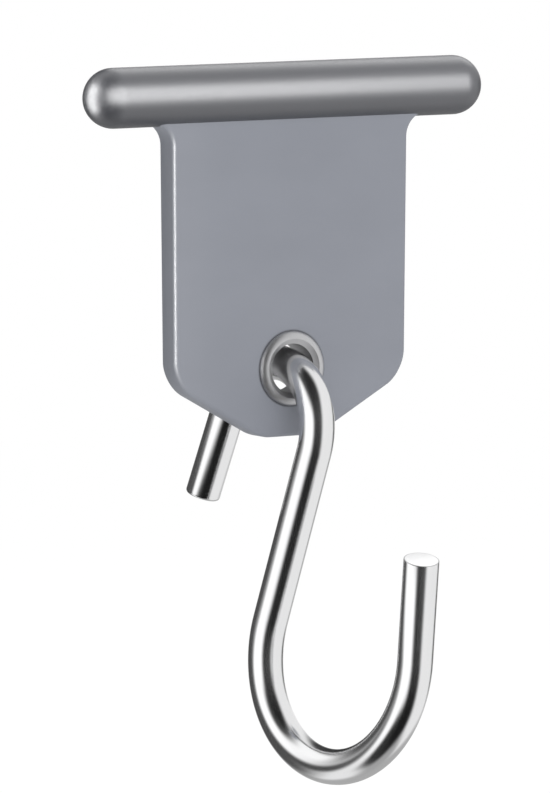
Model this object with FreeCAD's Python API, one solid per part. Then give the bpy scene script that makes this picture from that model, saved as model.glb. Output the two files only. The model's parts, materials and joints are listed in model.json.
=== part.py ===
import FreeCAD, Part
import math
import os

# Awning hook. A round bead slides in an awning rail's groove and carries a flat hanger plate.
# A rolled metal eyelet lines the plate's hole, and a round-wire S hook hangs through it.
# Frame: origin at the bead's centre, +X along the bead, -Y out of the plate's front face, +Z up.
# All sizes are in millimetres and all angles in degrees.

# Bead
bead_length = 43.0
bead_diameter = 5.6

# Hanger plate
hanger_height = 35.0
plate_width_top = 25.9
plate_width_bottom = 25.5
plate_thickness_top = 2.6
plate_thickness_bottom = 2.3
plate_foot_width = 6.3
plate_shoulder_height = 5.3
plate_root_radius = 2.2
plate_root_cover = 0.06
plate_root_land = 0.6
plate_corner_radius = 3.75
plate_foot_radius = 3.9
plate_edge_radius = 0.42
plate_back_chamfer = 0.3

# Eyelet
eyelet_play = 0.68
eyelet_wall = 0.35
eyelet_front_flange_width = 1.17
eyelet_rear_flange_width = 0.97
eyelet_front_flange_height = 0.5
eyelet_rear_flange_height = 0.4
eyelet_rim_round = 0.7
eyelet_funnel_depth = 0.3
eyelet_fit = 0.02
eyelet_above_foot = 6.4

# S hook, with its radii and lengths on the wire's centreline
wire_diameter = 3.3
upper_loop_radius = 6.48
upper_loop_angle = 176.4
rear_leg_length = 9.1
shank_length = 16.4
lower_bowl_radius = 10.3
lower_bowl_angle = 196.2
front_leg_length = 9.3
front_end_slant = 22.0
front_end_facing = 228.4
rear_end_chamfer = 0.3

# How the S hook hangs in the eyelet
hook_swing = 13.1
hook_lean = 7.5
hook_yaw = 8.7
hook_rear_offset = 1.2
hook_side_play = 0.23
hook_rest_gap = 0.27

MATCH = 0.01
X_AXIS = FreeCAD.Vector(1, 0, 0)
Y_AXIS = FreeCAD.Vector(0, 1, 0)
Z_AXIS = FreeCAD.Vector(0, 0, 1)
ORIGIN = FreeCAD.Vector(0, 0, 0)

bead_radius = bead_diameter / 2
plate_foot = bead_radius - hanger_height
wire_radius = wire_diameter / 2
bore_radius = wire_radius + eyelet_play
eyelet_height = plate_foot + eyelet_above_foot


def plate_thickness_at(z):
    """Thickness of the tapered plate at a height above or below the bead's axis."""
    share = 1 - z / plate_foot
    return plate_thickness_bottom + share * (plate_thickness_top - plate_thickness_bottom)


def make_bead():
    """Round bead with hemispherical ends, turned about X."""
    half = bead_length / 2
    shoulder = half - bead_radius
    rise = bead_radius * math.sin(math.radians(45))
    left = Part.Arc(
        FreeCAD.Vector(-half, 0, 0),
        FreeCAD.Vector(-shoulder - rise, 0, rise),
        FreeCAD.Vector(-shoulder, 0, bead_radius),
    )
    right = Part.Arc(
        FreeCAD.Vector(shoulder, 0, bead_radius),
        FreeCAD.Vector(shoulder + rise, 0, rise),
        FreeCAD.Vector(half, 0, 0),
    )
    crest = Part.makeLine(left.EndPoint, right.StartPoint)
    axis = Part.makeLine(right.EndPoint, left.StartPoint)
    outline = Part.Wire([left.toShape(), crest, right.toShape(), axis])
    return Part.Face(outline).revolve(ORIGIN, X_AXIS, 360)


def cross_edges(shape, x, z):
    """The edges that run through the plate at (x, z) and at its mirror (-x, z)."""
    found = []
    for edge in shape.Edges:
        middle = edge.valueAt((edge.FirstParameter + edge.LastParameter) / 2)
        if abs(abs(middle.x) - x) + abs(middle.z - z) < MATCH:
            found.append(edge)
    return found


def make_plate_blank():
    """Front outline of the plate, extruded through its thickness, with its corners rounded."""
    buried = math.sqrt(bead_radius ** 2 - (plate_thickness_top / 2) ** 2)
    root = plate_root_cover - buried
    side = [
        (plate_width_top / 2 + plate_root_radius + plate_root_land, 0),
        (plate_width_top / 2 + plate_root_radius + plate_root_land, root),
        (plate_width_top / 2, root),
        (plate_width_bottom / 2, plate_foot + plate_shoulder_height),
        (plate_foot_width / 2, plate_foot),
    ]
    outline = side + [(-x, z) for x, z in reversed(side)]
    points = [FreeCAD.Vector(x, plate_thickness_top, z) for x, z in outline]
    face = Part.Face(Part.makePolygon(points + points[:1]))
    blank = face.extrude(Y_AXIS * (-2 * plate_thickness_top))
    blank = blank.makeFillet(plate_root_radius, cross_edges(blank, *side[2]))
    blank = blank.makeFillet(plate_corner_radius, cross_edges(blank, *side[3]))
    return blank.makeFillet(plate_foot_radius, cross_edges(blank, *side[4]))


def make_plate():
    """The blank with both faces tapered towards the foot and its outline edges rounded."""
    top = bead_radius
    low = plate_foot - bead_radius
    section = [
        FreeCAD.Vector(-bead_length, plate_thickness_at(top) / 2, top),
        FreeCAD.Vector(-bead_length, -plate_thickness_at(top) / 2, top),
        FreeCAD.Vector(-bead_length, -plate_thickness_at(low) / 2, low),
        FreeCAD.Vector(-bead_length, plate_thickness_at(low) / 2, low),
    ]
    taper = Part.Face(Part.makePolygon(section + section[:1])).extrude(X_AXIS * (2 * bead_length))
    plate = make_plate_blank().common(taper).removeSplitter()
    plate = plate.makeFillet(plate_edge_radius, face_outline(plate, -1))
    return plate.makeChamfer(plate_back_chamfer, face_outline(plate, 1))


def face_outline(plate, side):
    """The edges round the plate's front face, side -1, or its back face, side 1, below the bead."""
    outline = []
    for edge in plate.Edges:
        middle = edge.valueAt((edge.FirstParameter + edge.LastParameter) / 2)
        on_face = abs(side * middle.y - plate_thickness_at(middle.z) / 2) < MATCH
        if on_face and middle.z < -MATCH:
            outline.append(edge)
    return outline


def make_hanger():
    """Bead and plate in one moulding, with the hole that the eyelet is set in."""
    hole = Part.makeCylinder(
        bore_radius + eyelet_wall + eyelet_fit,
        2 * plate_thickness_top,
        FreeCAD.Vector(0, -plate_thickness_top, eyelet_height),
        Y_AXIS,
    )
    moulding = make_bead().fuse(make_plate()).removeSplitter()
    return moulding.cut(hole).Solids[0]


def make_eyelet():
    """Eyelet: a front flange rounded at its rim and funnelled into the barrel, and a flat rear one."""
    seat = plate_thickness_at(eyelet_height) / 2 + eyelet_fit
    rim_radius = bore_radius + eyelet_front_flange_width
    crest_radius = rim_radius - eyelet_rim_round
    centre = FreeCAD.Vector(crest_radius, -seat, 0)
    rim = centre + X_AXIS * eyelet_rim_round
    crest = centre - Y_AXIS * eyelet_front_flange_height
    crown = Part.ArcOfEllipse(Part.Ellipse(rim, crest, centre), 0, math.pi / 2)
    profile = [
        (crest_radius, crest.y),
        (bore_radius, crest.y + eyelet_funnel_depth),
        (bore_radius, seat + eyelet_rear_flange_height),
        (bore_radius + eyelet_rear_flange_width, seat + eyelet_rear_flange_height),
        (bore_radius + eyelet_rear_flange_width, seat),
        (bore_radius + eyelet_wall, seat),
        (bore_radius + eyelet_wall, -seat),
        (rim_radius, -seat),
    ]
    straight = Part.makePolygon([FreeCAD.Vector(radius, y, 0) for radius, y in profile])
    outline = Part.Wire(straight.Edges + [crown.toShape()])
    eyelet = Part.Face(outline).revolve(ORIGIN, Y_AXIS, 360)
    eyelet.translate(Z_AXIS * eyelet_height)
    return eyelet


def loop_point(centre, radius, angle):
    """Point on a loop in the hook's own plane, with the angle turned from -Y towards +Z."""
    turn = math.radians(angle)
    return centre + FreeCAD.Vector(0, -radius * math.cos(turn), radius * math.sin(turn))


def loop_tangent(angle):
    """Direction in which the angle grows on a loop."""
    turn = math.radians(angle)
    return FreeCAD.Vector(0, math.sin(turn), math.cos(turn))


def make_flat_hook():
    """The bent wire in its own plane, with its upper loop centred on the origin."""
    bowl = FreeCAD.Vector(0, -upper_loop_radius - lower_bowl_radius, -shank_length)
    loop_start = loop_point(ORIGIN, upper_loop_radius, 0)
    loop_top = loop_point(ORIGIN, upper_loop_radius, upper_loop_angle / 2)
    loop_end = loop_point(ORIGIN, upper_loop_radius, upper_loop_angle)
    rear_end = loop_end + loop_tangent(upper_loop_angle) * rear_leg_length
    bowl_start = loop_point(bowl, -lower_bowl_radius, 0)
    bowl_low = loop_point(bowl, -lower_bowl_radius, lower_bowl_angle / 2)
    bowl_end = loop_point(bowl, -lower_bowl_radius, lower_bowl_angle)
    along = -loop_tangent(lower_bowl_angle)
    front_end = bowl_end + along * front_leg_length
    path = Part.Wire([
        Part.makeLine(rear_end, loop_end),
        Part.Arc(loop_end, loop_top, loop_start).toShape(),
        Part.makeLine(loop_start, bowl_start),
        Part.Arc(bowl_start, bowl_low, bowl_end).toShape(),
        Part.makeLine(bowl_end, front_end + along * wire_radius),
    ])
    section = Part.Wire(Part.makeCircle(wire_radius, rear_end, loop_end - rear_end))
    hook = path.makePipeShell([section], True, False)
    hinge = FreeCAD.Rotation(along, front_end_facing).multVec(Y_AXIS)
    facing = FreeCAD.Rotation(hinge, front_end_slant).multVec(along)
    offcut = Part.makeCylinder(wire_diameter, wire_diameter, front_end, facing)
    hook = hook.cut(offcut)
    rear_rim = []
    for face in hook.Faces:
        if (face.CenterOfMass - rear_end).Length < MATCH:
            rear_rim = face.OuterWire.Edges
    return hook.makeChamfer(rear_end_chamfer, rear_rim)


def hook_rotation():
    """Turn of the hanging hook: a swing in its own plane, then a sideways lean and a yaw."""
    swing = FreeCAD.Rotation(X_AXIS, hook_swing)
    lean = FreeCAD.Rotation(Y_AXIS, hook_lean)
    yaw = FreeCAD.Rotation(Z_AXIS, hook_yaw)
    return yaw.multiply(lean).multiply(swing)


def hook_pivot():
    """Centre of the upper loop, with the loop's inner side on the eyelet's front flange.

    The hook slides round in the eyelet about this point, on the normal of its own plane.
    """
    crown_y = -plate_thickness_at(eyelet_height) / 2
    crown_z = eyelet_height - bore_radius - eyelet_front_flange_width / 2
    reach = upper_loop_radius - wire_radius - eyelet_front_flange_width / 2 - hook_rest_gap
    z = crown_z - math.sqrt(reach ** 2 - (hook_rear_offset - crown_y) ** 2)
    normal = hook_rotation().multVec(X_AXIS)
    shift = (normal.z * (eyelet_height - z) - normal.y * hook_rear_offset) / normal.x
    return FreeCAD.Vector(hook_side_play + shift, hook_rear_offset, z)


def make_s_hook():
    """The S hook, hung through the eyelet."""
    hook = make_flat_hook()
    hook.Placement = FreeCAD.Placement(hook_pivot(), hook_rotation())
    return hook.Solids[0]


def main():
    os.makedirs("parts", exist_ok=True)
    make_hanger().exportStep("parts/hanger.step")
    make_eyelet().exportStep("parts/eyelet.step")
    make_s_hook().exportStep("parts/s_hook.step")


if __name__ == "__main__":
    main()
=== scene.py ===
import json
import math

import bmesh
import bpy
from bpy.props import FloatProperty, FloatVectorProperty, PointerProperty
from mathutils import Matrix, Vector


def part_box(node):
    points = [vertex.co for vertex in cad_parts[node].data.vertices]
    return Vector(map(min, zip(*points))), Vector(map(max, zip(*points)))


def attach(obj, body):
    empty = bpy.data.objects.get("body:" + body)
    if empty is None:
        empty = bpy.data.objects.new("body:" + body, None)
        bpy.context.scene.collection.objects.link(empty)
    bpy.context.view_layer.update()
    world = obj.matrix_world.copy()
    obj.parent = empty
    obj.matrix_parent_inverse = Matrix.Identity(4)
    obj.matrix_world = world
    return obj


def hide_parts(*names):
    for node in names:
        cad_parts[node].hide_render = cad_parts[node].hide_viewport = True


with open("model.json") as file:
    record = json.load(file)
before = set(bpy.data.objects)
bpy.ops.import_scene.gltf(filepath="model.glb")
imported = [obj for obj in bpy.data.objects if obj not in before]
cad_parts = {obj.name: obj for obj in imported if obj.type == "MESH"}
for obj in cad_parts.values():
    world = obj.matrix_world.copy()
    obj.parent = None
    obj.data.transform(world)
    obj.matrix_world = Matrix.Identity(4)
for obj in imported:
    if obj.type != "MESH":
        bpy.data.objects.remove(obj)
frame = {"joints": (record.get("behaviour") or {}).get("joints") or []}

bl_info = {
    "name": "Awning Hook",
    "version": (1, 0, 0),
    "blender": (4, 5, 0),
    "location": "3D View > Sidebar > Awning Hook",
    "description": "Rail bead, hanger plate, eyelet and chromed S hook of an awning hook",
    "category": "Add Mesh",
}

MM = 0.001
MERGE = 0.000001
X_AXIS = Vector((1, 0, 0))
Y_AXIS = Vector((0, 1, 0))
Z_AXIS = Vector((0, 0, 1))
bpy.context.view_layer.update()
HANGER_LOW, HANGER_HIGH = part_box("hanger")
SWING = frame["joints"][0]


# Sizes and colours


def length(name, description, default):
    return FloatProperty(
        name=name,
        description=description,
        default=default,
        min=0,
        precision=5,
        subtype="DISTANCE",
        unit="LENGTH",
    )


def angle(name, description, default):
    return FloatProperty(
        name=name,
        description=description,
        default=math.radians(default),
        subtype="ANGLE",
        unit="ROTATION",
    )


def colour(name, description, default):
    return FloatVectorProperty(
        name=name,
        description=description,
        default=default,
        min=0,
        max=1,
        size=3,
        subtype="COLOR",
    )


class AwningHangerSizes(bpy.types.PropertyGroup):
    bead_length: length("Bead length", "Rail bead from tip to tip", HANGER_HIGH.x - HANGER_LOW.x)
    bead_diameter: length("Bead diameter", "Thickness of the rail bead", 2 * HANGER_HIGH.z)
    plate_drop: length("Plate drop", "From the bead's axis to the plate's foot", -HANGER_LOW.z)
    width_top: length("Top width", "Plate width under the bead", 25.9 * MM)
    width_bottom: length("Shoulder width", "Plate width at its lower corners", 25.5 * MM)
    foot_width: length("Foot width", "Width of the flat along the foot", 6.3 * MM)
    shoulder_height: length("Shoulder height", "Height of the lower corners", 5.3 * MM)
    thickness_top: length("Top thickness", "Plate thickness at the bead", 2.6 * MM)
    thickness_bottom: length("Foot thickness", "Plate thickness at the foot", 2.3 * MM)
    root_cover: length("Root cover", "Depth of the plate's root in the bead", 0.06 * MM)
    root_land: length("Root land", "Buried step beside the root", 0.6 * MM)
    root_radius: length("Root radius", "Fillet from the plate's side to the bead", 2.2 * MM)
    corner_radius: length("Corner radius", "Round of the lower corners", 3.75 * MM)
    foot_radius: length("Foot radius", "Round at each end of the foot", 3.9 * MM)
    front_round: length("Front edge round", "Round of the front outline", 0.42 * MM)
    back_round: length("Back edge break", "Break of the back outline", 0.3 * MM)


class AwningEyeletSizes(bpy.types.PropertyGroup):
    height_above_foot: length("Height", "Centre above the plate's foot", 6.4 * MM)
    bore_radius: length("Bore radius", "Inside radius of the barrel", 2.33 * MM)
    wall: length("Wall", "Thickness of the barrel", 0.35 * MM)
    fit: length("Fit", "Play between the eyelet and the plate", 0.02 * MM)
    front_width: length("Front flange", "Width of the front flange", 1.17 * MM)
    front_height: length("Front height", "Height of the front flange", 0.5 * MM)
    rim_round: length("Rim round", "Width of the front flange's rounded rim", 0.7 * MM)
    funnel_depth: length("Funnel depth", "Fall from the crest to the bore", 0.3 * MM)
    rear_width: length("Rear flange", "Width of the rear flange", 0.97 * MM)
    rear_height: length("Rear height", "Thickness of the rear flange", 0.4 * MM)
    # Width of the painted shadow line on the plate round the front flange
    flange_shadow_width: length("Flange shadow", "Dark line on the plate round the front flange", 0.22 * MM)


class AwningHookSizes(bpy.types.PropertyGroup):
    wire_diameter: length("Wire diameter", "Round wire of the hook", 3.3 * MM)
    loop_radius: length("Upper loop", "Centreline radius of the upper loop", 6.48 * MM)
    loop_angle: angle("Upper bend", "Turn of the upper loop", 176.4)
    rear_leg: length("Rear leg", "Straight end behind the plate", 9.1 * MM)
    shank: length("Shank", "Straight part between the loops", 16.4 * MM)
    bowl_radius: length("Lower bowl", "Centreline radius of the lower bowl", 10.3 * MM)
    bowl_angle: angle("Lower bend", "Turn of the lower bowl", 196.2)
    front_leg: length("Front leg", "Straight end that rises at the front", 9.3 * MM)
    cut_slant: angle("Cut slant", "Slant of the cut on the front end", 22)
    cut_facing: angle("Cut facing", "Way that the slanted cut faces", 228.4)
    cut_break: length("Cut break", "Broken edge round the front cut", 0.06 * MM)
    # Width of the painted shade line round the face of the front cut
    cut_rim_shade: length("Cut rim", "Dark line round the face of the front cut", 0.16 * MM)
    rear_break: length("Rear break", "Broken edge round the rear end", 0.3 * MM)
    swing: angle("Swing", "Swing of the hanging hook", 13.1)
    lean: angle("Lean", "Sideways lean of the hanging hook", 7.5)
    yaw: angle("Yaw", "Yaw of the hanging hook", 8.7)
    pivot: FloatVectorProperty(
        name="Pivot",
        description="Centre of the upper loop",
        default=SWING["pos_m"],
        size=3,
        precision=5,
        subtype="TRANSLATION",
        unit="LENGTH",
    )


class AwningHookColours(bpy.types.PropertyGroup):
    bead: colour("Bead grey", "Satin grey of the rail bead", (0.043, 0.045, 0.054))
    plate: colour("Plate grey", "Blue-grey moulding of the plate", (0.231, 0.243, 0.278))
    eyelet: colour("Eyelet nickel", "Nickel of the eyelet", (0.6, 0.6, 0.61))
    chrome: colour("Chrome", "Bright plating of the hook", (0.87, 0.87, 0.875))
    cut_face: colour("Cut face", "Pale face of the wire's front cut", (0.97, 0.97, 0.97))
    floor: colour("Floor", "Pale studio floor", (0.93, 0.93, 0.93))


class AwningHookSettings(bpy.types.PropertyGroup):
    hanger: PointerProperty(
        type=AwningHangerSizes, name="Hanger", description="Sizes of the bead and the plate"
    )
    eyelet: PointerProperty(
        type=AwningEyeletSizes, name="Eyelet", description="Sizes of the eyelet"
    )
    hook: PointerProperty(
        type=AwningHookSizes, name="S hook", description="Sizes and hang of the S hook"
    )
    colours: PointerProperty(
        type=AwningHookColours, name="Colours", description="Colours of the finishes"
    )


# Shared steps of the mesh work

MOST_SMOOTH_SIDES = 8
SHARP_ANGLE = math.radians(35)


def line_to(mesh, start, point):
    """Draws an edge from a vertex to a point and gives the new vertex."""
    grown = bmesh.ops.extrude_vert_indiv(mesh, verts=[start])["verts"][0]
    bmesh.ops.translate(mesh, verts=[grown], vec=Vector(point) - start.co)
    return grown


def arc_to(mesh, start, centre, axis, turn, steps):
    """Draws an arc from a vertex and gives its last vertex."""
    drawn = bmesh.ops.spin(
        mesh, geom=[start], cent=centre, axis=axis, angle=turn, steps=steps
    )
    return [item for item in drawn["geom_last"] if isinstance(item, bmesh.types.BMVert)][0]


def turn_solid(mesh, centre, axis, steps):
    """Spins the profile all the way round, closes its seam and poles and faces it outwards."""
    bmesh.ops.spin(
        mesh,
        geom=mesh.verts[:] + mesh.edges[:],
        cent=centre,
        axis=axis,
        angle=2 * math.pi,
        steps=steps,
        use_merge=True,
    )
    bmesh.ops.remove_doubles(mesh, verts=mesh.verts[:], dist=MERGE)
    bmesh.ops.recalc_face_normals(mesh, faces=mesh.faces[:])


def soften(mesh, edges, size, segments):
    """Rounds edges of the solid."""
    bmesh.ops.bevel(
        mesh,
        geom=edges,
        offset=size,
        offset_type="OFFSET",
        segments=segments,
        profile=0.5,
        affect="EDGES",
        material=-1,
        clamp_overlap=True,
    )


def finish_piece(context, mesh, name, node, body, slot, *materials):
    """Makes the mesh a piece of the model that rides on its body in place of its CAD node."""
    for face in mesh.faces:
        face.smooth = len(face.verts) <= MOST_SMOOTH_SIDES
    data = bpy.data.meshes.new(name)
    mesh.to_mesh(data)
    mesh.free()
    data.set_sharp_from_angle(angle=SHARP_ANGLE)
    for material in materials:
        data.materials.append(material)
    piece = bpy.data.objects.new(name, data)
    context.scene.collection.objects.link(piece)
    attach(piece, body)
    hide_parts(node)


# Finishes


def open_finish(name, base, metallic):
    """Starts a finish and gives its material, its node tree and its main shader."""
    material = bpy.data.materials.new(name)
    material.use_nodes = True
    tree = material.node_tree
    shader = tree.nodes["Principled BSDF"]
    shader.inputs["Base Color"].default_value = (*base, 1)
    shader.inputs["Metallic"].default_value = metallic
    return material, tree, shader


def own_space(tree, centre=(0, 0, 0), stretch=(1, 1, 1)):
    """Places in the object's own space, measured from a centre or stretched along the axes."""
    place = tree.nodes.new("ShaderNodeTexCoord")
    mapping = tree.nodes.new("ShaderNodeMapping")
    mapping.inputs["Location"].default_value = [-value for value in centre]
    mapping.inputs["Scale"].default_value = stretch
    tree.links.new(place.outputs["Object"], mapping.inputs["Vector"])
    return mapping.outputs["Vector"]


def grain(tree, size, detail, stretch=(1, 1, 1)):
    """Noise in the object's own space, with features of about a size in metres."""
    noise = tree.nodes.new("ShaderNodeTexNoise")
    noise.inputs["Scale"].default_value = 1 / size
    noise.inputs["Detail"].default_value = detail
    tree.links.new(own_space(tree, stretch=stretch), noise.inputs["Vector"])
    return noise.outputs["Fac"]


def ramp(tree, value, start, end, low, high, interpolation="SMOOTHSTEP"):
    """Maps a value that goes from start to end to one that goes from low to high."""
    mapped = tree.nodes.new("ShaderNodeMapRange")
    mapped.interpolation_type = interpolation
    mapped.inputs["From Min"].default_value = start
    mapped.inputs["From Max"].default_value = end
    mapped.inputs["To Min"].default_value = low
    mapped.inputs["To Max"].default_value = high
    tree.links.new(value, mapped.inputs["Value"])
    return mapped.outputs["Result"]


NOISE_LOW = 0.3
NOISE_HIGH = 0.7


def spread(tree, value, low, high):
    """Maps the middle of a noise to a range."""
    return ramp(tree, value, NOISE_LOW, NOISE_HIGH, low, high, interpolation="LINEAR")


def shade(tree, value, base, low, high):
    """Varies a base colour from a darker to a lighter tone."""
    tones = tree.nodes.new("ShaderNodeValToRGB")
    stops = tones.color_ramp.elements
    for stop, position, tone in zip(stops, (NOISE_LOW, NOISE_HIGH), (low, high)):
        stop.position = position
        stop.color = [*(tone * part for part in base), 1]
    tree.links.new(value, tones.inputs["Fac"])
    return tones.outputs["Color"]


def relief(tree, shader, height, depth):
    """Presses a height pattern into the surface, to a depth in metres."""
    bump = tree.nodes.new("ShaderNodeBump")
    bump.inputs["Strength"].default_value = 1
    bump.inputs["Distance"].default_value = depth
    tree.links.new(height, bump.inputs["Height"])
    tree.links.new(bump.outputs["Normal"], shader.inputs["Normal"])


def moulded_grey(name, base, roughness, ior, depth):
    """Satin grey moulding with a fine die texture and a faint flow in its tone."""
    material, tree, shader = open_finish(name, base, metallic=0)
    shader.inputs["IOR"].default_value = ior
    flow = grain(tree, size=6 * MM, detail=3, stretch=(0.5, 1, 1))
    texture = grain(tree, size=0.3 * MM, detail=2)
    gloss = spread(tree, texture, roughness - 0.03, roughness + 0.03)
    tree.links.new(shade(tree, flow, base, 0.97, 1.03), shader.inputs["Base Color"])
    tree.links.new(gloss, shader.inputs["Roughness"])
    relief(tree, shader, texture, depth)
    return material


def painted_shade_ring(material, centre, axis, dark_radius, light_radius, tone):
    """Paints shade as a ring round an axis, from a tone at one radius to full colour at another.
    """
    tree = material.node_tree
    base_colour = tree.nodes["Principled BSDF"].inputs["Base Color"]
    across = tree.nodes.new("ShaderNodeVectorMath")
    across.operation = "CROSS_PRODUCT"
    across.inputs[1].default_value = axis
    away = tree.nodes.new("ShaderNodeVectorMath")
    away.operation = "LENGTH"
    darken = tree.nodes.new("ShaderNodeMix")
    darken.data_type = "RGBA"
    darken.blend_type = "MULTIPLY"
    darken.inputs["Factor"].default_value = 1
    tree.links.new(own_space(tree, centre), across.inputs[0])
    tree.links.new(across.outputs["Vector"], away.inputs[0])
    ring = ramp(tree, away.outputs["Value"], dark_radius, light_radius, tone, 1)
    tree.links.new(base_colour.links[0].from_socket, darken.inputs["A"])
    tree.links.new(ring, darken.inputs["B"])
    tree.links.new(darken.outputs["Result"], base_colour)


def rolled_nickel(base, centre):
    """Satin nickel with the faint rings that rolling leaves round the eyelet."""
    material, tree, shader = open_finish("rolled_nickel", base, metallic=1)
    rings = tree.nodes.new("ShaderNodeTexWave")
    rings.wave_type = "RINGS"
    rings.rings_direction = "Y"
    rings.inputs["Scale"].default_value = 900
    rings.inputs["Distortion"].default_value = 2
    rings.inputs["Detail"].default_value = 2
    tree.links.new(own_space(tree, centre), rings.inputs["Vector"])
    relief(tree, shader, rings.outputs["Fac"], 0.002 * MM)
    tarnish = grain(tree, size=1.5 * MM, detail=3)
    tree.links.new(shade(tree, tarnish, base, 0.92, 1.04), shader.inputs["Base Color"])
    tree.links.new(spread(tree, tarnish, 0.4, 0.5), shader.inputs["Roughness"])
    return material


def bright_chrome(base):
    """Bright plating over drawn wire, with faint handling haze."""
    material, tree, shader = open_finish("bright_chrome", base, metallic=1)
    haze = grain(tree, size=3 * MM, detail=4)
    drawn = grain(tree, size=1.2 * MM, detail=2)
    tree.links.new(spread(tree, haze, 0.165, 0.185), shader.inputs["Roughness"])
    relief(tree, shader, drawn, 0.0005 * MM)
    return material


def sheared_end(base):
    """The pale, duller face that shearing leaves on the wire's front end."""
    material, tree, shader = open_finish("sheared_end", base, metallic=0)
    drag = grain(tree, size=0.25 * MM, detail=3, stretch=(1, 0.2, 1))
    tree.links.new(shade(tree, drag, base, 0.98, 1), shader.inputs["Base Color"])
    tree.links.new(spread(tree, drag, 0.35, 0.45), shader.inputs["Roughness"])
    relief(tree, shader, drag, 0.004 * MM)
    return material


# Pieces

BEAD_SIDES = 80
BEAD_END_STEPS = 20
OUTLINE_SEGMENTS = 14
HOLE_STEPS = 28
FRONT_ROUND_SEGMENTS = 6
BACK_ROUND_SEGMENTS = 3
EYELET_SIDES = 72
RIM_STEPS = 10
WIRE_SIDES = 96
LOOP_STEPS = 144
BOWL_STEPS = 192
CUT_BREAK_SEGMENTS = 2
REAR_BREAK_SEGMENTS = 4
FLAT_FACING = 0.9
# Tones of painted shade: the shadow line round the flange and the dark line round the cut
FLANGE_SHADOW_TONE = 0.35
CUT_RIM_SHADE_TONE = 0.15


class AWNING_OT_rail_bead(bpy.types.Operator):
    """Turn the round bead that slides in the awning rail"""

    bl_idname = "awning.rail_bead"
    bl_label = "Rail Bead"

    def execute(self, context):
        settings = context.scene.awning_hook
        sizes = settings.hanger
        half = sizes.bead_length / 2
        radius = sizes.bead_diameter / 2
        shoulder = half - radius
        mesh = bmesh.new()
        tip = mesh.verts.new((-half, 0, 0))
        crest = arc_to(mesh, tip, (-shoulder, 0, 0), Y_AXIS, math.pi / 2, BEAD_END_STEPS)
        crest = line_to(mesh, crest, (shoulder, 0, radius))
        arc_to(mesh, crest, (shoulder, 0, 0), Y_AXIS, math.pi / 2, BEAD_END_STEPS)
        turn_solid(mesh, (0, 0, 0), X_AXIS, BEAD_SIDES)
        grey = settings.colours.bead
        finish = moulded_grey("satin_bead_grey", grey, roughness=0.4, ior=1.9, depth=0.002 * MM)
        finish_piece(
            context, mesh, "rail_bead", "hanger", "hanger_body", "hanger_plastic", finish
        )
        return {"FINISHED"}


def plate_slope(hanger):
    """How far each face of the plate leans in for each metre below the bead's axis."""
    return (hanger.thickness_top - hanger.thickness_bottom) / 2 / hanger.plate_drop


def round_corner(mesh, corner, radius):
    """Rounds a corner of the flat outline to a radius."""
    ends = [edge.other_vert(corner).co for edge in corner.link_edges]
    bend = (corner.co - ends[0]).angle(ends[1] - corner.co)
    bmesh.ops.bevel(
        mesh,
        geom=[corner],
        offset=radius * math.tan(bend / 2),
        offset_type="OFFSET",
        segments=OUTLINE_SEGMENTS,
        profile=0.5,
        affect="VERTICES",
        material=-1,
    )


def outline_edges(mesh, side, eyelet_centre, hole_radius):
    """The outer edges of the plate's front face, side -1, or its back face, side 1."""
    found = []
    for edge in mesh.edges:
        faces = edge.link_faces
        flats = [face for face in faces if side * face.normal.y > FLAT_FACING]
        middle = (edge.verts[0].co + edge.verts[1].co) / 2
        reach = Vector((middle.x, 0, middle.z - eyelet_centre)).length
        if len(flats) == 1 and reach > hole_radius + MERGE:
            found.append(edge)
    return found


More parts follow.
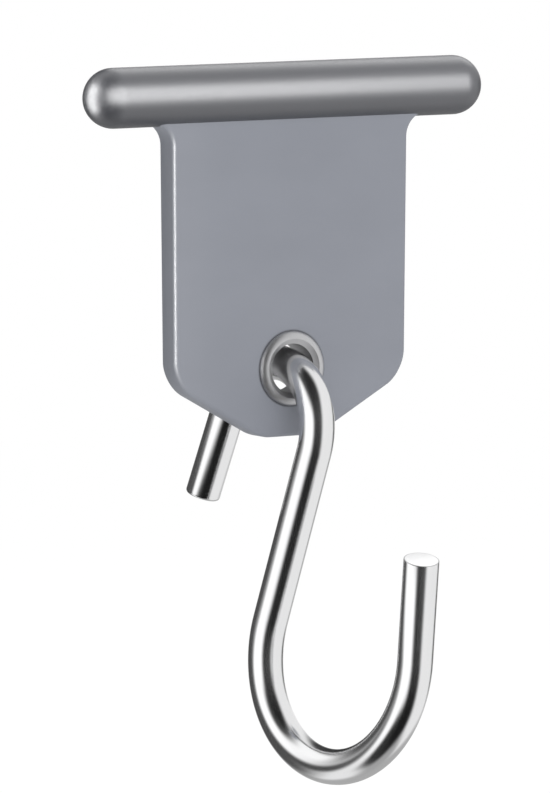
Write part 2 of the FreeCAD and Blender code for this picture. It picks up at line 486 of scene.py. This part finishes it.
class AWNING_OT_hanger_plate(bpy.types.Operator):
    """Mould the flat plate that hangs from the bead, with its hole and its rounded outline"""

    bl_idname = "awning.hanger_plate"
    bl_label = "Hanger Plate"

    def execute(self, context):
        settings = context.scene.awning_hook
        sizes = settings.hanger
        eyelet = settings.eyelet
        foot = -sizes.plate_drop
        bead_radius = sizes.bead_diameter / 2
        root = sizes.root_cover - math.sqrt(bead_radius ** 2 - (sizes.thickness_top / 2) ** 2)
        land = sizes.width_top / 2 + sizes.root_radius + sizes.root_land
        centre = foot + eyelet.height_above_foot
        hole = eyelet.bore_radius + eyelet.wall + eyelet.fit

        mesh = bmesh.new()
        hole_top = mesh.verts.new((0, 0, centre + hole))
        point = arc_to(mesh, hole_top, (0, 0, centre), Y_AXIS, math.pi, HOLE_STEPS)
        point = line_to(mesh, point, (0, 0, foot))
        foot_corner = line_to(mesh, point, (sizes.foot_width / 2, 0, foot))
        shoulder_point = (sizes.width_bottom / 2, 0, foot + sizes.shoulder_height)
        shoulder_corner = line_to(mesh, foot_corner, shoulder_point)
        root_corner = line_to(mesh, shoulder_corner, (sizes.width_top / 2, 0, root))
        point = line_to(mesh, root_corner, (land, 0, root))
        point = line_to(mesh, point, (land, 0, 0))
        point = line_to(mesh, point, (0, 0, 0))
        mesh.edges.new((point, hole_top))
        bmesh.ops.contextual_create(mesh, geom=mesh.edges[:])
        round_corner(mesh, root_corner, sizes.root_radius)
        round_corner(mesh, shoulder_corner, sizes.corner_radius)
        round_corner(mesh, foot_corner, sizes.foot_radius)
        half = mesh.verts[:] + mesh.edges[:] + mesh.faces[:]
        bmesh.ops.mirror(mesh, geom=half, axis="X", merge_dist=MERGE)
        bmesh.ops.remove_doubles(mesh, verts=mesh.verts[:], dist=MERGE)

        front = mesh.verts[:]
        grown = bmesh.ops.extrude_face_region(mesh, geom=mesh.faces[:])["geom"]
        back = [item for item in grown if isinstance(item, bmesh.types.BMVert)]
        for side, verts in ((-1, front), (1, back)):
            taper = Matrix.Identity(4)
            taper[1][2] = side * plate_slope(sizes)
            taper[1][3] = side * sizes.thickness_top / 2
            bmesh.ops.transform(mesh, matrix=taper, verts=verts)
        bmesh.ops.recalc_face_normals(mesh, faces=mesh.faces[:])
        front_edges = outline_edges(mesh, -1, centre, hole)
        soften(mesh, front_edges, sizes.front_round, FRONT_ROUND_SEGMENTS)
        back_edges = outline_edges(mesh, 1, centre, hole)
        soften(mesh, back_edges, sizes.back_round, BACK_ROUND_SEGMENTS)

        grey = settings.colours.plate
        finish = moulded_grey("moulded_plate_grey", grey, roughness=0.5, ior=1.5, depth=0.004 * MM)
        # Painted shadow: a dark line on the plate round the front flange, where shade falls next
        # to the eyelet
        rim = eyelet.bore_radius + eyelet.front_width
        shadow_end = rim + eyelet.flange_shadow_width
        painted_shade_ring(finish, (0, 0, centre), Y_AXIS, rim, shadow_end, FLANGE_SHADOW_TONE)
        finish_piece(
            context, mesh, "hanger_plate", "hanger", "hanger_body", "hanger_plastic", finish
        )
        return {"FINISHED"}


class AWNING_OT_eyelet(bpy.types.Operator):
    """Roll the metal eyelet that lines the plate's hole"""

    bl_idname = "awning.eyelet"
    bl_label = "Eyelet"

    def execute(self, context):
        settings = context.scene.awning_hook
        hanger = settings.hanger
        sizes = settings.eyelet
        centre_z = sizes.height_above_foot - hanger.plate_drop
        seat = hanger.thickness_top / 2 + centre_z * plate_slope(hanger) + sizes.fit
        bore = sizes.bore_radius
        rim = bore + sizes.front_width
        crest = rim - sizes.rim_round
        rear_rim = bore + sizes.rear_width
        rear = seat + sizes.rear_height

        mesh = bmesh.new()
        first = mesh.verts.new((rim, -seat, 0))
        point = arc_to(mesh, first, (crest, -seat, 0), -Z_AXIS, math.pi / 2, RIM_STEPS)
        squash = Matrix.Scale(sizes.front_height / sizes.rim_round, 4, Y_AXIS)
        bmesh.ops.transform(
            mesh, matrix=squash, space=Matrix.Translation((0, seat, 0)), verts=mesh.verts[:]
        )
        crest_y = point.co.y
        for radius, y in (
            (bore, crest_y + sizes.funnel_depth),
            (bore, rear),
            (rear_rim, rear),
            (rear_rim, seat),
            (bore + sizes.wall, seat),
            (bore + sizes.wall, -seat),
        ):
            point = line_to(mesh, point, (radius, y, 0))
        mesh.edges.new((point, first))
        turn_solid(mesh, (0, 0, 0), Y_AXIS, EYELET_SIDES)
        bmesh.ops.translate(mesh, verts=mesh.verts[:], vec=Z_AXIS * centre_z)
        finish = rolled_nickel(settings.colours.eyelet, (0, 0, centre_z))
        finish_piece(
            context, mesh, "rolled_eyelet", "eyelet", "hanger_body", "eyelet_metal", finish
        )
        return {"FINISHED"}


def loop_point(centre, radius, turn):
    """Point on a bend of the flat hook, with the turn from -Y towards +Z."""
    return centre + Vector((0, -radius * math.cos(turn), radius * math.sin(turn)))


def loop_tangent(turn):
    """Direction in which the turn grows on a bend."""
    return Vector((0, math.sin(turn), math.cos(turn)))


def once_each(items):
    """The items in their order, each of them once."""
    return list(dict.fromkeys(items))


def draw_wire(mesh, ring, run):
    """Draws the open end of the wire along a straight run."""
    grown = bmesh.ops.extrude_edge_only(mesh, edges=ring)["geom"]
    verts = [item for item in grown if isinstance(item, bmesh.types.BMVert)]
    bmesh.ops.translate(mesh, verts=verts, vec=run)
    ends = set(verts)
    edges = [item for item in grown if isinstance(item, bmesh.types.BMEdge)]
    return [edge for edge in edges if set(edge.verts) <= ends]


def bend_wire(mesh, ring, centre, turn, steps):
    """Bends the open end of the wire about a centre in the hook's own plane."""
    verts = once_each(vert for edge in ring for vert in edge.verts)
    bent = bmesh.ops.spin(
        mesh, geom=verts + ring, cent=centre, axis=X_AXIS, angle=turn, steps=steps
    )
    return [item for item in bent["geom_last"] if isinstance(item, bmesh.types.BMEdge)]


def cut_wire(mesh, ring, point, facing):
    """Cuts the last run of wire on a slant and closes it, and gives the cut's rim."""
    last_run = once_each(face for edge in ring for face in edge.link_faces)
    edges = once_each(edge for face in last_run for edge in face.edges)
    verts = once_each(vert for face in last_run for vert in face.verts)
    cut = bmesh.ops.bisect_plane(
        mesh,
        geom=verts + edges + last_run,
        dist=MERGE / 10,
        plane_co=point,
        plane_no=facing,
        clear_outer=True,
    )
    rim = [item for item in cut["geom_cut"] if isinstance(item, bmesh.types.BMEdge)]
    for face in bmesh.ops.contextual_create(mesh, geom=rim)["faces"]:
        face.material_index = 1
    return rim


class AWNING_OT_s_hook(bpy.types.Operator):
    """Bend the chromed wire S hook and hang it through the eyelet"""

    bl_idname = "awning.s_hook"
    bl_label = "S Hook"

    def execute(self, context):
        settings = context.scene.awning_hook
        sizes = settings.hook
        origin = Vector((0, 0, 0))
        bowl = Vector((0, -sizes.loop_radius - sizes.bowl_radius, -sizes.shank))
        wire_radius = sizes.wire_diameter / 2
        loop_end = loop_point(origin, sizes.loop_radius, sizes.loop_angle)
        rear_end = loop_end + loop_tangent(sizes.loop_angle) * sizes.rear_leg
        bowl_end = loop_point(bowl, -sizes.bowl_radius, sizes.bowl_angle)
        along = -loop_tangent(sizes.bowl_angle)
        front_end = bowl_end + along * sizes.front_leg
        hinge = Matrix.Rotation(sizes.cut_facing, 3, along) @ Y_AXIS
        facing = Matrix.Rotation(sizes.cut_slant, 3, hinge) @ along

        mesh = bmesh.new()
        heading = (loop_end - rear_end).to_track_quat("Z", "Y").to_matrix().to_4x4()
        bmesh.ops.create_circle(
            mesh,
            cap_ends=False,
            segments=WIRE_SIDES,
            radius=wire_radius,
            matrix=Matrix.Translation(rear_end) @ heading,
        )
        rear_rim = mesh.edges[:]
        ring = draw_wire(mesh, rear_rim, loop_end - rear_end)
        ring = bend_wire(mesh, ring, origin, sizes.loop_angle, LOOP_STEPS)
        ring = draw_wire(mesh, ring, -Z_AXIS * sizes.shank)
        ring = bend_wire(mesh, ring, bowl, -sizes.bowl_angle, BOWL_STEPS)
        ring = draw_wire(mesh, ring, along * (sizes.front_leg + wire_radius))
        front_rim = cut_wire(mesh, ring, front_end, facing)
        bmesh.ops.contextual_create(mesh, geom=rear_rim)
        bmesh.ops.recalc_face_normals(mesh, faces=mesh.faces[:])
        soften(mesh, front_rim, sizes.cut_break, CUT_BREAK_SEGMENTS)
        soften(mesh, rear_rim, sizes.rear_break, REAR_BREAK_SEGMENTS)
        hang = (
            Matrix.Translation(sizes.pivot)
            @ Matrix.Rotation(sizes.yaw, 4, "Z")
            @ Matrix.Rotation(sizes.lean, 4, "Y")
            @ Matrix.Rotation(sizes.swing, 4, "X")
        )
        bmesh.ops.transform(mesh, matrix=hang, verts=mesh.verts[:])
        chrome = bright_chrome(settings.colours.chrome)
        end = sheared_end(settings.colours.cut_face)
        # Painted shade: a dark line round the rim of the cut face
        end_axis = hang.to_3x3() @ along
        shade_start = wire_radius - sizes.cut_rim_shade
        painted_shade_ring(end, hang @ front_end, end_axis, wire_radius, shade_start, CUT_RIM_SHADE_TONE)
        finish_piece(
            context, mesh, "wire_s_hook", "s_hook", "hook_body", "hook_chrome", chrome, end
        )
        return {"FINISHED"}


# Studio

VIEW_AZIMUTH = -32.5
VIEW_ELEVATION = 6
VIEW_TARGET = Vector((-1.063, 0, -28.5)) * MM
VIEW_DISTANCE = 690 * MM
VIEW_LENS = 483.5
SHEEN_DISTANCE = 1
EDGE_SPOT_DISTANCE = 250 * MM
EDGE_SPOT_SPREAD = math.radians(1)
FLOOR_SIZE = 4
FLOOR_HEIGHT = -110 * MM
FLOOR_NEAR = 120 * MM
FLOOR_FAR = 700 * MM
FLOOR_NEAR_WHITE = 0.6


def sight(azimuth, elevation):
    """Unit vector towards a direction, with the azimuth turned from the front, -Y, towards +X."""
    turn = math.radians(azimuth)
    rise = math.radians(elevation)
    level = math.cos(rise)
    return Vector((math.sin(turn) * level, -math.cos(turn) * level, math.sin(rise)))


def aim(thing, place, point):
    """Puts a lamp or the camera at a place and turns it to a point."""
    thing.location = place
    thing.rotation_euler = (point - place).to_track_quat("-Z", "Y").to_euler()


def add_camera(context):
    lens = bpy.data.cameras.new("photo_view")
    lens.sensor_fit = "HORIZONTAL"
    lens.sensor_width = 36
    lens.lens = VIEW_LENS
    lens.clip_end = 20
    camera = bpy.data.objects.new("photo_view", lens)
    context.scene.collection.objects.link(camera)
    aim(camera, VIEW_TARGET + sight(VIEW_AZIMUTH, VIEW_ELEVATION) * VIEW_DISTANCE, VIEW_TARGET)
    context.scene.camera = camera


def add_softbox(context, name, azimuth, elevation, distance, size, watts):
    """A soft rectangular lamp that faces the object and stays out of mirrors."""
    lamp = bpy.data.lights.new(name, "AREA")
    lamp.shape = "RECTANGLE"
    lamp.size, lamp.size_y = size
    lamp.energy = watts
    softbox = bpy.data.objects.new(name, lamp)
    context.scene.collection.objects.link(softbox)
    aim(softbox, VIEW_TARGET + sight(azimuth, elevation) * distance, VIEW_TARGET)
    softbox.visible_camera = False
    softbox.visible_glossy = False
    return softbox


def add_sheen_lamp(context, name, azimuth, elevation, size, watts, piece):
    """A lamp that only draws a soft sheen along one satin piece."""
    sheen = add_softbox(context, name, azimuth, elevation, SHEEN_DISTANCE, size, watts)
    sheen.visible_glossy = True
    sheen.visible_diffuse = False
    receivers = bpy.data.collections.new(name)
    receivers.objects.link(bpy.data.objects[piece])
    sheen.light_linking.receiver_collection = receivers
    return sheen


def add_edge_spot(context, edge, azimuth, size, watts):
    """A narrow beam that only picks out the plate's upright edge."""
    spot = add_sheen_lamp(context, "edge_spot", azimuth, 0, size, watts, "hanger_plate")
    spot.data.spread = EDGE_SPOT_SPREAD
    aim(spot, edge + sight(azimuth, 0) * EDGE_SPOT_DISTANCE, edge)


def either(tree, first, second):
    """1 where either of two values is 1."""
    larger = tree.nodes.new("ShaderNodeMath")
    larger.operation = "MAXIMUM"
    tree.links.new(first, larger.inputs[0])
    tree.links.new(second, larger.inputs[1])
    return larger.outputs["Value"]


def round_patch(tree, direction, below, azimuth, elevation, reach, fade, tone):
    """Lays a round patch of a tone, with a soft rim, over the tone that lies below it."""
    across = tree.nodes.new("ShaderNodeVectorMath")
    across.operation = "DOT_PRODUCT"
    across.inputs[1].default_value = sight(VIEW_AZIMUTH + azimuth, elevation)
    away = tree.nodes.new("ShaderNodeMath")
    away.operation = "ARCCOSINE"
    lay = tree.nodes.new("ShaderNodeMix")
    lay.data_type = "FLOAT"
    lay.inputs["B"].default_value = tone
    tree.links.new(direction, across.inputs[0])
    tree.links.new(across.outputs["Value"], away.inputs[0])
    full = math.radians(reach - fade)
    gone = math.radians(reach + fade)
    tree.links.new(ramp(tree, away.outputs["Value"], full, gone, 1, 0), lay.inputs["Factor"])
    tree.links.new(below, lay.inputs["A"])
    return lay.outputs["Result"]


# Each patch is an azimuth from the camera, an elevation, a reach and a fade in degrees, and a tone
FILL_TONE = 0.45
BRIGHT_BACK = (180, 25, 40, 30, 1.0)
DIM_LEFT = (-80, 0, 50, 25, 0.05)
BRIGHT_FRONT = (22, 14, 30, 25, 2.8)
FILL_PATCHES = (BRIGHT_BACK, DIM_LEFT, BRIGHT_FRONT)
MIRRORED_TONE = 0.9
WHITE_WINDOW = (-60, 12, 34, 10, 1.2)
WHITE_OVER_LEFT = (-115, 50, 28, 10, 1.1)
GREY_BACK = (175, -48, 36, 8, 0.45)
GREY_UNDER = (0, -80, 25, 10, 0.4)
DARK_BACK = (-165, 22, 28, 8, 0.04)
DARK_BACK_LEFT = (-130, -6, 32, 10, 0.08)
DARK_LEFT = (-94, -8, 13, 8, 0.06)
DARK_OVER_LEFT = (-30, 60, 30, 10, 0.05)
DARK_RIGHT_RIM = (140, -5, 14, 6, 0.15)
DARK_UNDER_LEFT = (-35, -45, 28, 8, 0.03)
COLUMN_ELEVATIONS = range(-40, 61, 20)
DARK_COLUMN = [(6, elevation, 26, 12, 0.01) for elevation in COLUMN_ELEVATIONS]
MIRRORED_PATCHES = (
    WHITE_WINDOW,
    WHITE_OVER_LEFT,
    GREY_BACK,
    GREY_UNDER,
    DARK_BACK,
    DARK_BACK_LEFT,
    DARK_LEFT,
    DARK_OVER_LEFT,
    DARK_RIGHT_RIM,
    DARK_UNDER_LEFT,
    *DARK_COLUMN,
)


def patched_background(tree, direction, tone, patches):
    """A white background of an even tone with round patches over it."""
    background = tree.nodes.new("ShaderNodeBackground")
    background.inputs["Color"].default_value = (1, 1, 1, 1)
    even = tree.nodes.new("ShaderNodeValue")
    even.outputs["Value"].default_value = tone
    level = even.outputs["Value"]
    for patch in patches:
        level = round_patch(tree, direction, level, *patch)
    tree.links.new(level, background.inputs["Strength"])
    return background


def add_world(context):
    """White where it is seen, round patches for the mirrors, and a soft fill for the rest."""
    world = bpy.data.worlds.new("white_studio")
    world.use_nodes = True
    context.scene.world = world
    tree = world.node_tree
    path = tree.nodes.new("ShaderNodeLightPath")
    place = tree.nodes.new("ShaderNodeTexCoord")
    soft, mirrored = (
        patched_background(tree, place.outputs["Generated"], tone, patches)
        for tone, patches in ((FILL_TONE, FILL_PATCHES), (MIRRORED_TONE, MIRRORED_PATCHES))
    )
    seen = tree.nodes["Background"]
    seen.inputs["Color"].default_value = (1, 1, 1, 1)
    seen.inputs["Strength"].default_value = 1
    for_mirrors = tree.nodes.new("ShaderNodeMixShader")
    tree.links.new(path.outputs["Is Glossy Ray"], for_mirrors.inputs["Fac"])
    tree.links.new(soft.outputs["Background"], for_mirrors.inputs[1])
    tree.links.new(mirrored.outputs["Background"], for_mirrors.inputs[2])
    for_view = tree.nodes.new("ShaderNodeMixShader")
    passed = either(tree, path.outputs["Is Camera Ray"], path.outputs["Is Transmission Ray"])
    tree.links.new(passed, for_view.inputs["Fac"])
    tree.links.new(for_mirrors.outputs["Shader"], for_view.inputs[1])
    tree.links.new(seen.outputs["Background"], for_view.inputs[2])
    tree.links.new(for_view.outputs["Shader"], tree.nodes["World Output"].inputs["Surface"])


def add_floor(context, tone):
    """Pale floor that keeps the object's shadow near it and fades to white further off."""
    mesh = bmesh.new()
    bmesh.ops.create_grid(mesh, x_segments=1, y_segments=1, size=FLOOR_SIZE)
    bmesh.ops.translate(mesh, verts=mesh.verts[:], vec=Z_AXIS * FLOOR_HEIGHT)
    data = bpy.data.meshes.new("studio_floor")
    mesh.to_mesh(data)
    mesh.free()
    material = bpy.data.materials.new("pale_floor")
    material.use_nodes = True
    tree = material.node_tree
    tree.nodes.remove(tree.nodes["Principled BSDF"])
    lit = tree.nodes.new("ShaderNodeBsdfDiffuse")
    lit.inputs["Color"].default_value = (*tone, 1)
    white = tree.nodes.new("ShaderNodeEmission")
    white.inputs["Color"].default_value = (1, 1, 1, 1)
    white.inputs["Strength"].default_value = 1
    path = tree.nodes.new("ShaderNodeLightPath")
    place = tree.nodes.new("ShaderNodeTexCoord")
    away = tree.nodes.new("ShaderNodeVectorMath")
    away.operation = "LENGTH"
    share = tree.nodes.new("ShaderNodeMath")
    share.operation = "MULTIPLY"
    blend = tree.nodes.new("ShaderNodeMixShader")
    passed = either(tree, path.outputs["Is Camera Ray"], path.outputs["Is Transmission Ray"])
    tree.links.new(place.outputs["Object"], away.inputs[0])
    distance = away.outputs["Value"]
    whiten = ramp(tree, distance, FLOOR_NEAR, FLOOR_FAR, FLOOR_NEAR_WHITE, 1)
    tree.links.new(whiten, share.inputs[0])
    tree.links.new(passed, share.inputs[1])
    tree.links.new(share.outputs["Value"], blend.inputs["Fac"])
    tree.links.new(lit.outputs["BSDF"], blend.inputs[1])
    tree.links.new(white.outputs["Emission"], blend.inputs[2])
    tree.links.new(blend.outputs["Shader"], tree.nodes["Material Output"].inputs["Surface"])
    data.materials.append(material)
    floor = bpy.data.objects.new("studio_floor", data)
    context.scene.collection.objects.link(floor)
    floor.visible_glossy = False


class AWNING_OT_studio(bpy.types.Operator):
    """Set the white surroundings, the pale floor, the soft lamps and the camera"""

    bl_idname = "awning.studio"
    bl_label = "Studio"

    def execute(self, context):
        add_world(context)
        add_floor(context, context.scene.awning_hook.colours.floor)
        add_softbox(
            context,
            "top_softbox",
            azimuth=150,
            elevation=80,
            distance=1.2,
            size=(1.0, 1.0),
            watts=9,
        )
        for name, azimuth, elevation, size, watts in (
            ("front_sheen", -5, 15, (1.9, 1.05), 46),
            ("side_sheen", -117, 0, (0.8, 1.6), 41),
            ("rim_sheen", 132, 40, (0.7, 0.5), 2.2),
        ):
            add_sheen_lamp(context, name, azimuth, elevation, size, watts, "rail_bead")
        hanger = context.scene.awning_hook.hanger
        edge = Vector((-hanger.width_top / 2, -hanger.thickness_top / 2, -hanger.plate_drop / 2))
        add_edge_spot(context, edge, azimuth=-50, size=(4 * MM, 60 * MM), watts=0.0038)
        add_camera(context)
        context.scene.view_settings.view_transform = "Standard"
        return {"FINISHED"}


class VIEW3D_PT_awning_hook(bpy.types.Panel):
    bl_label = "Awning Hook"
    bl_space_type = "VIEW_3D"
    bl_region_type = "UI"
    bl_category = "Awning Hook"

    def draw(self, context):
        settings = context.scene.awning_hook
        layout = self.layout
        for operator in OPERATORS:
            layout.operator(operator.bl_idname)
        for title, group in (
            ("Hanger", settings.hanger),
            ("Eyelet", settings.eyelet),
            ("S hook", settings.hook),
            ("Colours", settings.colours),
        ):
            box = layout.box()
            box.label(text=title)
            for name in group.__annotations__:
                box.prop(group, name)


OPERATORS = (
    AWNING_OT_rail_bead,
    AWNING_OT_hanger_plate,
    AWNING_OT_eyelet,
    AWNING_OT_s_hook,
    AWNING_OT_studio,
)
CLASSES = (
    AwningHangerSizes,
    AwningEyeletSizes,
    AwningHookSizes,
    AwningHookColours,
    AwningHookSettings,
    *OPERATORS,
    VIEW3D_PT_awning_hook,
)


def register():
    for item in CLASSES:
        bpy.utils.register_class(item)
    bpy.types.Scene.awning_hook = PointerProperty(type=AwningHookSettings)


def unregister():
    del bpy.types.Scene.awning_hook
    for item in reversed(CLASSES):
        bpy.utils.unregister_class(item)


def main():
    register()
    bpy.ops.awning.rail_bead()
    bpy.ops.awning.hanger_plate()
    bpy.ops.awning.eyelet()
    bpy.ops.awning.s_hook()
    bpy.ops.awning.studio()


if __name__ == "__main__":
    main()
